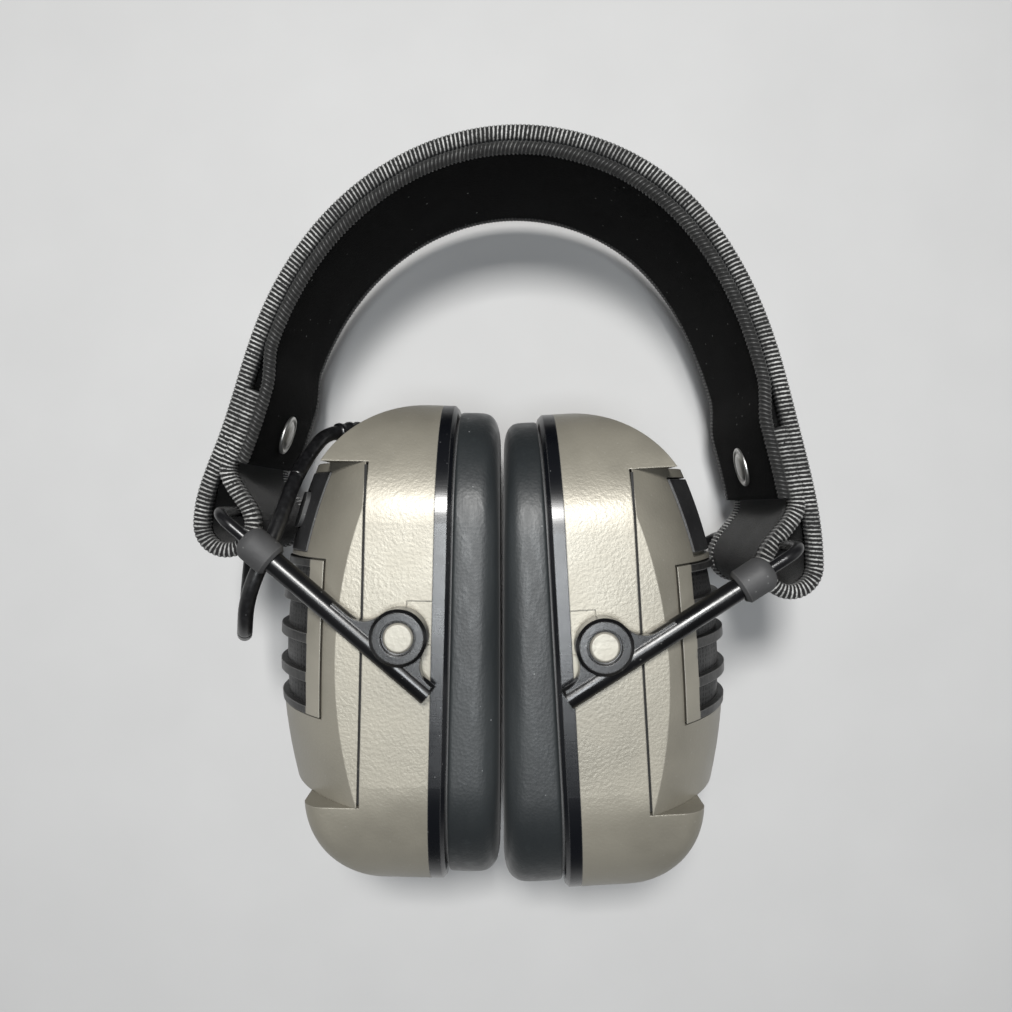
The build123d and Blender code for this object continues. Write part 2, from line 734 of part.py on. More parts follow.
last_run = (Vector(*CABLE_ROUTE[-1]) - Vector(*CABLE_ROUTE[-2])).normalized()
with BuildPart() as cabled_strap:
    add(headband_strap.part)
    with BuildSketch(Plane(origin=Vector(*CABLE_ROUTE[-2]), z_dir=last_run)):
        Circle(CABLE + 0.1)
    extrude(amount=13, mode=Mode.SUBTRACT)


# ---- write every piece ----------------------------------------------------------------------
save("headband_strap", cabled_strap.part)
save("headband_liner", headband_liner.part)
save("headband_spring", headband_spring)
save("strap_binding", strap_binding)
save("liner_binding", liner_binding)
save("snap_caps", snap_caps.part)
save("snap_studs", snap_studs.part)
save("left_cable", left_cable.part)
save("left_cable_gland", cable_gland.part)

CUP_PIECES = {
    "base_plate": base_plate.part,
    "cushion_ring": cushion_ring.part,
    "foam_liner": foam_liner.part,
    "speaker": speaker.part,
    "circuit_board": circuit_board.part,
    "microphone": microphone.part,
    "cover_seal": cover_seal.part,
    "cover_screws": cover_screws.part,
    "grille_frame": grille_frame.part,
    "grille_mesh": grille_mesh.part,
    "pivot_pins": pivot_pins.part,
}
ARM_PIECES = {
    "stirrup": stirrup.part,
    "wire_stops": wire_stops.part,
    "sleeve_collars": collars.part,
}
far_sleeve = mirror(sleeve.part, about=Plane.XY)

for side in SIDES:
    cup_frame, arm_frame = frame_of(side), arm_of(side)
    for name, piece in CUP_PIECES.items():
        save(f"{side}_{name}", piece, cup_frame)
    for name, piece in ARM_PIECES.items():
        save(f"{side}_{name}", piece, arm_frame)
    save(f"{side}_outer_cover", COVERS[side], cup_frame)
    save(f"{side}_ear_cushion", ear_cushion(side))
    front, back = (sleeve.part, far_sleeve) if side == "left" else (far_sleeve, sleeve.part)
    save(f"{side}_front_sleeve", front, arm_frame)
    save(f"{side}_back_sleeve", back, arm_frame)

save("left_base_shell", cabled_shell.part)
save("right_base_shell", base_shell.part, frame_of("right"))
save("left_control_pad", control_pad.part, frame_of("left"))
for place, name in ((-1, "volume_down"), (0, "power"), (1, "volume_up")):
    save(f"left_{name}_button", button_block(0, BUTTON_PROUD, place), frame_of("left"))
save("right_battery_door", dark_panel(GROOVE, DOOR_LIP), frame_of("right"))
save("right_battery_tray", battery_tray.part, frame_of("right"))
save("right_batteries", batteries.part, frame_of("right"))
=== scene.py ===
import bpy
from math import cos, pi, radians, sin
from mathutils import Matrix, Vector, noise
import numpy as np


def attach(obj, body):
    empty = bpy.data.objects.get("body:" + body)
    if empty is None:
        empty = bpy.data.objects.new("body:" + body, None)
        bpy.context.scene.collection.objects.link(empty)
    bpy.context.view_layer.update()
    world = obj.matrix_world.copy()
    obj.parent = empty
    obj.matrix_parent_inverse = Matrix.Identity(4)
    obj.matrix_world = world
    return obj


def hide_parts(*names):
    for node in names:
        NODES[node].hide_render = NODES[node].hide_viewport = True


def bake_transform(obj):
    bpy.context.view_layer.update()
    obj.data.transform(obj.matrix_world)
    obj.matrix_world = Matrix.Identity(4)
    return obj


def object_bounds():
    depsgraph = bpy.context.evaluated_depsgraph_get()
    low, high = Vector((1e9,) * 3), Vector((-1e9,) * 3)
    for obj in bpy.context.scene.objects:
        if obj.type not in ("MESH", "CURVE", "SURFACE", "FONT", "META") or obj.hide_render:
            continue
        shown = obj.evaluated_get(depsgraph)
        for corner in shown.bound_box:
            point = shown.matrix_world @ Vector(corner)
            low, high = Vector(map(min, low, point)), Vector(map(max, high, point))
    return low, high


# Electronic hearing protection earmuffs, folded flat on their back: the visual model.
# Lengths in this file are millimetres until a mesh is made, which is in metres.

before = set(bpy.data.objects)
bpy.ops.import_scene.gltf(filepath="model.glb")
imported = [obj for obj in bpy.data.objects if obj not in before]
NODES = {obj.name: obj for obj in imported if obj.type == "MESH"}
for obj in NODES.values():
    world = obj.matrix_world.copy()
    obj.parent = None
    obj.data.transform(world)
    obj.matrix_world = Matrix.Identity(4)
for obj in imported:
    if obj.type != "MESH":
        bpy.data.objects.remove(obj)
cad_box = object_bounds()
MM = 0.001
MIDDLE = 43.0
SIDES = {
    "left": {"out": -1, "pivot": (-22.05, -24.0), "tilt": 1.3},
    "right": {"out": 1, "pivot": (19.15, -25.8), "tilt": 3.2},
}


# ---- camera, floor and light ----------------------------------------------------------------
def aim(obj, place, target):
    obj.location = place
    way = Vector(target) - Vector(place)
    obj.rotation_euler = way.to_track_quat("-Z", "Y").to_euler()


def softbox(name, place, target, width, height, power, colour=(1, 1, 1)):
    data = bpy.data.lights.new(name, "AREA")
    data.shape = "RECTANGLE"
    data.size, data.size_y = width, height
    data.energy = power
    data.color = colour
    lamp = bpy.data.objects.new(name, data)
    bpy.context.scene.collection.objects.link(lamp)
    aim(lamp, place, target)


camera_data = bpy.data.cameras.new("camera")
camera_data.lens = 33.08
camera_data.sensor_width = 36
camera_data.clip_start = 0.01
camera = bpy.data.objects.new("camera", camera_data)
camera.location = (-0.00055, 0.0023, 0.270)
bpy.context.scene.collection.objects.link(camera)
bpy.context.scene.camera = camera

softbox("key", (-0.02, 0.17, 0.62), (0, 0.0, 0.03), 0.09, 0.09, 3.9, (1.0, 0.99, 0.97))
softbox("window", (0.0, -0.045, 0.62), (0, 0, 0), 0.12, 0.12, 1.3, (0.93, 0.97, 1.0))
softbox("fill_left", (-0.50, -0.05, 0.25), (0, 0, 0.04), 0.30, 0.40, 0.22)
softbox("fill_right", (0.50, -0.05, 0.25), (0, 0, 0.04), 0.30, 0.40, 0.22)

world = bpy.data.worlds.new("studio")
world.use_nodes = True
world.node_tree.nodes["Background"].inputs["Color"].default_value = (0.92, 0.95, 1, 1)
world.node_tree.nodes["Background"].inputs["Strength"].default_value = 0.06
bpy.context.scene.world = world
bpy.context.scene.view_settings.view_transform = "Standard"


# ---- materials ------------------------------------------------------------------------------
class Look:
    """One procedural material, with its nodes added one after another."""

    def __init__(self, name, **surface):
        self.material = bpy.data.materials.new(name)
        self.material.use_nodes = True
        self.tree = self.material.node_tree
        self.shader = self.tree.nodes["Principled BSDF"]
        self.shader.inputs["Specular IOR Level"].default_value = 0.5
        for socket, value in surface.items():
            self.shader.inputs[socket.replace("_", " ")].default_value = value
        self.place = self.node("TexCoord").outputs["Object"]
        self.bumps = None

    def node(self, kind, settings=None, **inputs):
        made = self.tree.nodes.new("ShaderNode" + kind)
        for key, value in (settings or {}).items():
            setattr(made, key, value)
        for key, value in inputs.items():
            self.feed(made.inputs[key.replace("_", " ")], value)
        return made

    def feed(self, socket, value):
        if isinstance(value, bpy.types.NodeSocket):
            self.tree.links.new(value, socket)
        else:
            socket.default_value = value

    def stretched(self, scale, place=None):
        made = self.node("VectorMath", {"operation": "MULTIPLY"})
        self.feed(made.inputs[0], place or self.place)
        self.feed(made.inputs[1], scale)
        return made.outputs[0]

    def grain(self, scale, detail=2.0, rough=0.5, place=None):
        made = self.node("TexNoise", Scale=scale, Detail=detail, Roughness=rough)
        self.feed(made.inputs["Vector"], place or self.place)
        return made.outputs["Fac"]

    def cells(self, scale, place=None, feature="F1", jitter=1.0):
        made = self.node("TexVoronoi", {"feature": feature}, Scale=scale, Randomness=jitter)
        self.feed(made.inputs["Vector"], place or self.place)
        return made

    def attribute(self, name, output="Fac"):
        return self.node("Attribute", {"attribute_name": name}).outputs[output]

    def math(self, operation, first, second=0.0, third=None):
        made = self.node("Math", {"operation": operation})
        self.feed(made.inputs[0], first)
        self.feed(made.inputs[1], second)
        if third is not None:
            self.feed(made.inputs[2], third)
        return made.outputs[0]

    def levels(self, factor, low, high, start=0.0, end=1.0):
        made = self.node("MapRange", {"interpolation_type": "SMOOTHSTEP"})
        for index, value in enumerate((factor, low, high, start, end)):
            self.feed(made.inputs[index], value)
        return made.outputs[0]

    def blend(self, factor, first, second, mode="MIX"):
        made = self.node("Mix", {"data_type": "RGBA", "blend_type": mode})
        self.feed(made.inputs[0], factor)
        for socket, value in ((made.inputs[6], first), (made.inputs[7], second)):
            whole = value if isinstance(value, bpy.types.NodeSocket) else (*value, 1)
            self.feed(socket, whole)
        return made.outputs[2]

    def edges(self, radius=0.35):
        """Bright where a moulded edge has been rubbed, and rounds the edge as well."""
        bevel = self.node("Bevel", {"samples": 4}, Radius=radius * MM)
        self.bumps = bevel.outputs["Normal"]
        facing = self.node("VectorMath", {"operation": "DOT_PRODUCT"})
        self.feed(facing.inputs[0], bevel.outputs["Normal"])
        self.feed(facing.inputs[1], self.node("NewGeometry").outputs["Normal"])
        return self.levels(facing.outputs["Value"], 0.995, 0.88)

    def bump(self, height, depth, strength=1.0):
        """Raise the surface by this height, times this depth in millimetres."""
        made = self.node("Bump", Strength=strength, Distance=depth * MM, Height=height)
        if self.bumps is not None:
            self.feed(made.inputs["Normal"], self.bumps)
        self.bumps = made.outputs["Normal"]

    def done(self, colour=None, rough=None):
        if colour is not None:
            self.feed(self.shader.inputs["Base Color"], colour)
        if rough is not None:
            self.feed(self.shader.inputs["Roughness"], rough)
        if self.bumps is not None:
            self.feed(self.shader.inputs["Normal"], self.bumps)
        return self.material


def moulded(name, base, low, high, pebble, depth, wear, spread=0.12, **surface):
    """Moulded or painted plastic: pebbled skin, cloudy tone, dust and rubbed edges."""
    look = Look(name, **surface)
    rubbed = look.edges()
    tone = look.grain(45.0, 3.0)
    fine = look.grain(pebble, 2.5, 0.6)
    dark = tuple(c * (1 - spread) for c in base)
    light = tuple(min(1, c * (1 + spread)) for c in base)
    colour = look.blend(look.levels(tone, 0.3, 0.7), dark, light)
    colour = look.blend(look.levels(fine, 0.35, 0.75, 0, spread), colour, light)
    specks = look.levels(look.cells(420.0).outputs["Distance"], 0.10, 0.06, 0, 0.10)
    colour = look.blend(specks, colour, (0.6, 0.6, 0.58))
    colour = look.blend(look.math("MULTIPLY", rubbed, wear), colour, (0.62, 0.61, 0.58))
    look.bump(fine, depth)
    look.bump(look.grain(pebble * 0.4, 2.0), depth * 0.8, 0.4)
    return look.done(colour, look.levels(look.grain(90.0, 4.0), 0.3, 0.7, low, high))


def gloss(name, base, low, high, scratch=0.02, **surface):
    """Polished plastic or painted wire, with hairline scratches and a little dust."""
    look = Look(name, **surface)
    rubbed = look.edges(0.3)
    lines = look.grain(160.0, 3.0, 0.7, look.stretched((1.0, 14.0, 6.0)))
    haze = look.grain(70.0, 4.0, 0.6)
    dust = look.levels(look.cells(520.0).outputs["Distance"], 0.09, 0.05, 0, 0.25)
    colour = look.blend(dust, base, (0.32, 0.32, 0.33))
    colour = look.blend(look.math("MULTIPLY", rubbed, 0.10), colour, (0.5, 0.5, 0.5))
    look.bump(lines, scratch)
    look.bump(haze, scratch * 2, 0.5)
    return look.done(colour, look.levels(haze, 0.35, 0.7, low, high))


def leather():
    look = Look("cushion_leather", Sheen_Weight=0.08, Sheen_Roughness=0.4)
    long_fold = look.grain(420.0, 3.0, 0.6, look.stretched((1.0, 0.32, 1.0)))
    pebble = look.cells(1500.0).outputs["Distance"]
    soft = look.grain(28.0, 2.0)
    colour = look.blend(look.levels(soft, 0.3, 0.7), (0.013, 0.0155, 0.017), (0.022, 0.0255, 0.027))
    colour = look.blend(look.levels(long_fold, 0.5, 0.8, 0, 0.35), colour, (0.034, 0.039, 0.041))
    lint = look.levels(look.cells(230.0).outputs["Distance"], 0.045, 0.03, 0, 0.5)
    colour = look.blend(lint, colour, (0.35, 0.36, 0.36))
    look.bump(long_fold, 0.10)
    look.bump(pebble, 0.03, 0.7)
    return look.done(colour, look.levels(long_fold, 0.35, 0.75, 0.50, 0.40))


def open_foam():
    look = Look("open_foam", Sheen_Weight=0.2)
    bubble = look.cells(900.0).outputs["Distance"]
    colour = look.blend(look.levels(bubble, 0.15, 0.6), (0.010, 0.010, 0.011), (0.06, 0.06, 0.065))
    colour = look.blend(look.levels(look.grain(60.0), 0.4, 0.8, 0, 0.4), colour, (0.09, 0.09, 0.09))
    look.bump(bubble, 0.5)
    return look.done(colour, 0.95)


def velvet():
    """Black brushed lining with bits of lint caught in it."""
    look = Look("velvet_lining", Sheen_Weight=0.02, Sheen_Roughness=0.3)
    look.shader.inputs["Specular IOR Level"].default_value = 0.08
    nap = look.grain(1700.0, 3.0, 0.7)
    brushed = look.grain(120.0, 3.0, 0.6, look.stretched((1.0, 1.0, 0.4)))
    pile = look.levels(nap, 0.35, 0.8)
    colour = look.blend(pile, (0.0006, 0.0006, 0.0006), (0.0035, 0.0035, 0.0038))
    colour = look.blend(look.levels(brushed, 0.5, 0.8, 0, 0.4), colour, (0.006, 0.006, 0.0065))
    flecks = look.cells(620.0)
    chance = look.node("SeparateColor", Color=flecks.outputs["Color"]).outputs[0]
    chosen = look.math("GREATER_THAN", chance, 0.90)
    size = look.levels(flecks.outputs["Distance"], 0.17, 0.08)
    patch = look.levels(look.grain(70.0, 2.0), 0.42, 0.56)
    fleck = look.math("MULTIPLY", look.math("MULTIPLY", chosen, size), patch)
    colour = look.blend(fleck, colour, (0.26, 0.27, 0.26))
    look.bump(nap, 0.25)
    return look.done(colour, 0.95)


def webbing_weave():
    """Ribbed webbing; its cloth coordinates run along and across the strap in millimetres."""
    look = Look("woven_webbing", Sheen_Weight=0.15, Sheen_Roughness=0.4)
    place = look.attribute("cloth", "Vector")
    axes = look.node("SeparateXYZ", Vector=place)
    along = look.math("SINE", look.math("MULTIPLY", axes.outputs[0], 2 * pi / 1.1))
    across = look.math("SINE", look.math("MULTIPLY", axes.outputs[1], 2 * pi / 0.75))
    thread = look.math("MULTIPLY", along, across)
    fuzz = look.grain(2.2, 3.0, 0.7, place)
    height = look.math("ADD", thread, look.math("MULTIPLY", fuzz, 0.8))
    colour = look.blend(look.levels(height, 0.2, 1.4), (0.002, 0.002, 0.002), (0.018, 0.018, 0.019))
    bright = look.math("MULTIPLY", look.levels(thread, 0.55, 0.95), look.levels(fuzz, 0.5, 0.75))
    colour = look.blend(look.math("MULTIPLY", bright, 0.7), colour, (0.30, 0.30, 0.30))
    look.bump(height, 0.16)
    return look.done(colour, 0.8)


def ribbed_tape(name, light, hidden):
    """Edge tape: pale thread on the ribs, black between them."""
    look = Look(name, Sheen_Weight=0.1)
    rib = look.attribute("rib")
    fibre = look.grain(1500.0, 3.0, 0.7)
    broken = look.math("ADD", rib, look.math("MULTIPLY", look.math("SUBTRACT", fibre, 0.5), 0.7))
    pale = look.levels(broken, 0.70, 0.92)
    tone = look.levels(look.grain(150.0, 3.0), 0.3, 0.7, hidden, 1.0)
    colour = look.blend(look.math("MULTIPLY", pale, tone), (0.0025, 0.0025, 0.0025), light)
    look.bump(fibre, 0.10)
    return look.done(colour, look.levels(pale, 0.0, 1.0, 0.85, 0.5))


def cable_rubber():
    look = Look("cable_rubber", Coat_Weight=0.15, Coat_Roughness=0.25)
    fine = look.grain(900.0, 3.0)
    colour = look.blend(look.levels(fine, 0.4, 0.8), (0.004, 0.004, 0.0045), (0.014, 0.014, 0.015))
    dust = look.levels(look.cells(480.0).outputs["Distance"], 0.10, 0.05, 0, 0.3)
    colour = look.blend(dust, colour, (0.25, 0.25, 0.25))
    look.bump(fine, 0.03)
    return look.done(colour, look.levels(look.grain(80.0), 0.3, 0.7, 0.28, 0.42))


def perforated():
    look = Look("perforated_mesh", Metallic=0.5)
    hole = look.cells(950.0, jitter=0.25).outputs["Distance"]
    solid = look.levels(hole, 0.32, 0.42)
    colour = look.blend(solid, (0.001, 0.001, 0.001), (0.03, 0.03, 0.03))
    look.bump(solid, 0.3)
    return look.done(colour, look.levels(look.grain(70.0), 0.3, 0.7, 0.45, 0.65))


def bare_metal(name, base, low, high):
    look = Look(name, Metallic=0.95)
    rubbed = look.edges(0.15)
    hair = look.grain(520.0, 3.0, 0.6, look.stretched((1.0, 1.0, 9.0)))
    stain = look.levels(look.grain(130.0, 3.0), 0.45, 0.75)
    colour = look.blend(look.math("MULTIPLY", stain, 0.5), base, tuple(c * 0.45 for c in base))
    colour = look.blend(look.math("MULTIPLY", rubbed, 0.5), colour, (0.9, 0.9, 0.88))
    look.bump(hair, 0.03)
    return look.done(colour, look.levels(hair, 0.3, 0.7, low, high))


def board_lacquer():
    look = Look("board_lacquer")
    tracks = look.cells(260.0, jitter=0.4, feature="DISTANCE_TO_EDGE").outputs["Distance"]
    track = look.levels(tracks, 0.04, 0.09)
    colour = look.blend(track, (0.06, 0.12, 0.05), (0.012, 0.055, 0.028))
    colour = look.blend(look.levels(look.grain(700.0), 0.6, 0.75, 0, 0.4), colour, (0.2, 0.25, 0.2))
    look.bump(track, 0.04)
    return look.done(colour, look.levels(look.grain(150.0), 0.3, 0.7, 0.3, 0.5))


def cell_wrapper():
    """Plain two-tone battery wrap: dark body with a copper-coloured end band."""
    look = Look("cell_wrapper", Metallic=0.4)
    band_start = 52.0 * MM
    height = look.node("SeparateXYZ", Vector=look.place).outputs[2]
    band = look.levels(height, band_start, band_start + 0.3 * MM)
    colour = look.blend(band, (0.02, 0.021, 0.023), (0.42, 0.20, 0.09))
    scuffs = look.levels(look.grain(260.0, 4.0), 0.5, 0.8, 0, 0.3)
    colour = look.blend(scuffs, colour, (0.2, 0.18, 0.16))
    look.bump(look.grain(600.0), 0.02)
    return look.done(colour, look.levels(look.grain(90.0), 0.3, 0.7, 0.25, 0.4))


CHAMPAGNE = (0.265, 0.248, 0.205)
LOUVRE_START = 20.6  # how far out from the pivot the dark bars of a grille begin


def louvred(side):
    """Grille: frame in the shell's colour, louvre bars and their inner faces in dark grey."""
    facts = SIDES[side]
    look = Look(f"{side}_louvred_grille", Metallic=0.25)
    rubbed = look.edges(0.4)
    lean = radians(facts["tilt"])
    outward = (facts["out"] * cos(lean), sin(lean), 0)
    pivot = Vector((*facts["pivot"], 0)) * MM
    reach = look.node("VectorMath", {"operation": "DOT_PRODUCT"})
    look.feed(reach.inputs[0], look.place)
    look.feed(reach.inputs[1], outward)
    station = look.math("SUBTRACT", reach.outputs["Value"], pivot.dot(Vector(outward)))
    dark = look.levels(station, (LOUVRE_START - 0.1) * MM, (LOUVRE_START + 0.3) * MM)
    fine = look.grain(900.0, 2.5, 0.6)
    tone = look.levels(look.grain(45.0, 3.0), 0.3, 0.7)
    paint = look.blend(tone, (0.25, 0.235, 0.195), (0.32, 0.30, 0.25))
    bar = look.blend(look.levels(fine, 0.3, 0.8), (0.020, 0.020, 0.020), (0.045, 0.044, 0.042))
    colour = look.blend(dark, paint, bar)
    colour = look.blend(look.math("MULTIPLY", rubbed, 0.22), colour, (0.6, 0.6, 0.57))
    look.bump(fine, 0.05)
    return look.done(colour, look.levels(look.grain(90.0), 0.3, 0.7, 0.36, 0.5))


SHELL = moulded(
    "champagne_shell", CHAMPAGNE, 0.38, 0.48, 1500.0, 0.06, 0.10,
    Metallic=0.35, Coat_Weight=0.12, Coat_Roughness=0.3,
)
PIN = moulded("champagne_pin", (0.33, 0.315, 0.27), 0.38, 0.5, 900.0, 0.06, 0.25, Metallic=0.3)
PLATE = gloss(
    "gloss_plate", (0.003, 0.0035, 0.005), 0.24, 0.32, 0.008, Coat_Weight=0.1, Coat_Roughness=0.2
)
ARM = moulded("satin_arm", (0.004, 0.004, 0.0045), 0.22, 0.32, 900.0, 0.015, 0.06, 0.3)
WIRE = gloss("black_wire", (0.010, 0.010, 0.011), 0.22, 0.34, 0.02, Metallic=0.3)
COLLAR = moulded("collar_rubber", (0.042, 0.042, 0.043), 0.55, 0.72, 1300.0, 0.05, 0.10, 0.25)
PANEL = moulded("dark_panel", (0.022, 0.022, 0.023), 0.42, 0.58, 1100.0, 0.05, 0.12, 0.3)
BUTTON = moulded("button_rubber", (0.035, 0.035, 0.036), 0.6, 0.78, 1500.0, 0.04, 0.15, 0.25)
INNER = moulded("inner_plastic", (0.055, 0.056, 0.058), 0.45, 0.6, 600.0, 0.04, 0.1, 0.25)
SEAL = moulded("seal_rubber", (0.006, 0.006, 0.006), 0.7, 0.85, 1200.0, 0.03, 0.05, 0.3)
STEEL = bare_metal("screw_steel", (0.42, 0.42, 0.41), 0.28, 0.42)
NICKEL = bare_metal("snap_nickel", (0.60, 0.60, 0.58), 0.30, 0.46)
CABLE_SKIN = cable_rubber()


def finish_with(material, *names):
    for name in names:
        data = NODES[name].data
        if not data.materials:
            data.materials.append(material)
        for index in range(len(data.materials)):
            data.materials[index] = material


finish_with(PANEL, "left_control_pad", "right_battery_door")
finish_with(BUTTON, "left_volume_down_button", "left_power_button", "left_volume_up_button")
finish_with(INNER, "headband_spring", "right_battery_tray")
finish_with(cell_wrapper(), "right_batteries")
finish_with(NICKEL, "snap_studs")
MESH = perforated()
BOARD = board_lacquer()
for side in SIDES:
    finish_with(SHELL, f"{side}_base_shell", f"{side}_outer_cover")
    finish_with(PLATE, f"{side}_base_plate")
    finish_with(louvred(side), f"{side}_grille_frame")
    finish_with(MESH, f"{side}_grille_mesh")
    finish_with(SEAL, f"{side}_cover_seal")
    finish_with(PIN, f"{side}_pivot_pins")
    finish_with(ARM, f"{side}_front_sleeve", f"{side}_back_sleeve")
    finish_with(WIRE, f"{side}_stirrup")
    finish_with(COLLAR, f"{side}_sleeve_collars")
    finish_with(STEEL, f"{side}_cover_screws", f"{side}_wire_stops")
    finish_with(INNER, f"{side}_cushion_ring", f"{side}_speaker", f"{side}_microphone")
    finish_with(BOARD, f"{side}_circuit_board")


# ---- mesh helpers ---------------------------------------------------------------------------
def piece(name, points, faces, material, slot, body=None, replaced=(), **attributes):
    """A smooth mesh object from points in millimetres."""
    data = bpy.data.meshes.new(name)
    data.from_pydata([tuple(p) for p in np.asarray(points, float) * MM], [], faces)
    data.validate()
    for key, values in attributes.items():
        kind = "FLOAT" if np.ndim(values) == 1 else "FLOAT_VECTOR"
        layer = data.attributes.new(key, kind, "POINT")
        flat = np.asarray(values, np.float32).ravel()
        layer.data.foreach_set("value" if kind == "FLOAT" else "vector", flat)
    data.shade_smooth()
    data.materials.append(material)
    made = bpy.data.objects.new(name, data)
    bpy.context.scene.collection.objects.link(made)
    if replaced:
        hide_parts(*replaced)
    if body:
        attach(made, body)
    return made


def tube_faces(rings, around, capped=True, closed=False):
    """Quads that join rings of points, and a face over each end."""
    faces = []
    for i in range(rings if closed else rings - 1):
        for j in range(around):
            k = (j + 1) % around
            low, high = i * around, (i + 1) % rings * around
            faces.append((low + j, low + k, high + k, high + j))
    if capped and not closed:
        faces.append(tuple(range(around))[::-1])
        faces.append(tuple(range((rings - 1) * around, rings * around)))
    return faces


def resampled(line, step):
    """The same line with points this far apart."""
    gaps = np.linalg.norm(np.diff(line, axis=0), axis=1)
    along = np.concatenate([[0], np.cumsum(gaps)])
    count = max(2, int(round(along[-1] / step)) + 1)
    places = np.linspace(0, along[-1], count)
    return np.stack([np.interp(places, along, axis) for axis in line.T], axis=1), places


def smooth_curve(points, first, last, fine=80):
    """A smooth curve through the points with these end directions."""
    p = np.array(points, float)
    gap = np.linalg.norm(np.diff(p, axis=0), axis=1)
    last_row = len(p) - 1
    system, sides = np.zeros((len(p), len(p))), np.zeros_like(p)
    system[0, 0] = system[last_row, last_row] = 1
    sides[0], sides[last_row] = first, last
    for i in range(1, last_row):
        before, after = gap[i - 1], gap[i]
        system[i, i - 1 : i + 2] = after, 2 * (before + after), before
        sides[i] = 3 * (
            before * (p[i + 1] - p[i]) / after + after * (p[i] - p[i - 1]) / before
        )
    slope = np.linalg.solve(system, sides)
    t = np.linspace(0, 1, fine, endpoint=False)[:, None]
    runs = []
    for i in range(last_row):
        a, b = p[i], p[i + 1]
        c = 3 * (b - a) - gap[i] * (2 * slope[i] + slope[i + 1])
        d = 2 * (a - b) + gap[i] * (slope[i] + slope[i + 1])
        runs.append(a + gap[i] * slope[i] * t + c * t**2 + d * t**3)
    return np.concatenate(runs + [p[-1:]])


def towards_head(line):
    """The unit direction square to a line, on its inner side."""
    way = np.gradient(line, axis=0)
    way /= np.linalg.norm(way, axis=1)[:, None]
    return np.stack([way[:, 1], -way[:, 0]], axis=1)


def strip(line, section):
    """Rings of a section, of (inset, height) points, set along a line; either may vary."""
    normal = towards_head(line)
    rings = np.zeros((len(line), section.shape[-2], 3))
    whole = np.broadcast_to(section, (len(line), *section.shape[-2:]))
    rings[..., :2] = line[:, None] + normal[:, None] * whole[..., :1]
    rings[..., 2] = MIDDLE + whole[..., 1]
    return rings


# ---- headband -------------------------------------------------------------------------------
STRAP, STRAP_HALF = 2.2, 25.6
LINER, LINER_HALF = 1.9, 24.6
LOOP_RADIUS = 5.6
LEFT_LOOP, RIGHT_LOOP = np.array([-61.25, -1.7]), np.array([61.25, -10.8])
LEFT_SNAP, RIGHT_SNAP, FLAP_END, FLAP_LEVEL = 24.4, 24.5, 7.0, 14.0
LINER_INSET, TUCKED_INSET, FLAP_INSET = 2.95, 4.875, 2.45
LINER_START = 16.0
ACROSS = np.array([LOOP_RADIUS, 0])

CROWN, CROWN_AT = resampled(
    smooth_curve(
        [
            LEFT_LOOP - ACROSS,
            (-61.65, 16.5),
            (-52.85, 42.9),
            (-32.55, 70.8),
            (-0.55, 83.5),
            (34.45, 72.4),
            (56.35, 38.3),
            (61.35, 20.2),
            RIGHT_LOOP + ACROSS,
        ],
        (0, 1),
        (0, -1),
    ),
    0.25,
)
CROWN_IN = towards_head(CROWN)
RUN = CROWN_AT[-1]


def inside(distance, inset):
    point = [np.interp(distance, CROWN_AT, axis) for axis in CROWN.T]
    normal = [np.interp(distance, CROWN_AT, axis) for axis in CROWN_IN.T]
    return np.array(point) + np.array(normal) * inset


def heading(distance):
    way = inside(distance + 0.5, 0) - inside(distance - 0.5, 0)
    return way / np.linalg.norm(way)


def half_turn(centre, start, end):
    angles = np.radians(np.linspace(start, end, 60))[1:-1]
    return centre + LOOP_RADIUS * np.stack([np.cos(angles), np.sin(angles)], axis=1)


def webbing_line():
    left_flap = smooth_curve(
        [
            inside(LEFT_SNAP + FLAP_END, FLAP_INSET),
            inside(LEFT_SNAP, FLAP_INSET),
            inside(FLAP_LEVEL + 4, FLAP_INSET),
            inside(FLAP_LEVEL, FLAP_INSET + 0.1),
            LEFT_LOOP + ACROSS,
        ],
        -heading(LEFT_SNAP + FLAP_END),
        (0, -1),
    )
    last = RUN - RIGHT_SNAP
    right_flap = smooth_curve(
        [
            RIGHT_LOOP - ACROSS,
            inside(RUN - FLAP_LEVEL, FLAP_INSET + 0.1),
            inside(RUN - FLAP_LEVEL - 4, FLAP_INSET),
            inside(last, FLAP_INSET),
            inside(last - FLAP_END, FLAP_INSET),
        ],
        (0, 1),
        -heading(last - FLAP_END),
    )
    left_turn = half_turn(LEFT_LOOP, 0, -180)
    right_turn = half_turn(RIGHT_LOOP, 0, -180)
    return np.concatenate([left_flap, left_turn, CROWN, right_turn, right_flap])


def flat_section(half_thick, half_wide, across=26):
    """A flat strap's section: two long faces and two rounded edges, as (inset, height)."""
    heights = np.linspace(-1, 1, across) * (half_wide - half_thick * 0.8)
    near = [(half_thick, h) for h in heights]
    far = [(-half_thick, h) for h in heights[::-1]]
    turn = np.radians([25, 55, 90, 125, 155])
    top = [(half_thick * cos(a), heights[-1] + half_thick * 0.8 * sin(a)) for a in turn]
    low = [(-half_thick * cos(a), heights[0] - half_thick * 0.8 * sin(a)) for a in turn]
    return np.array(near + top + far + low)


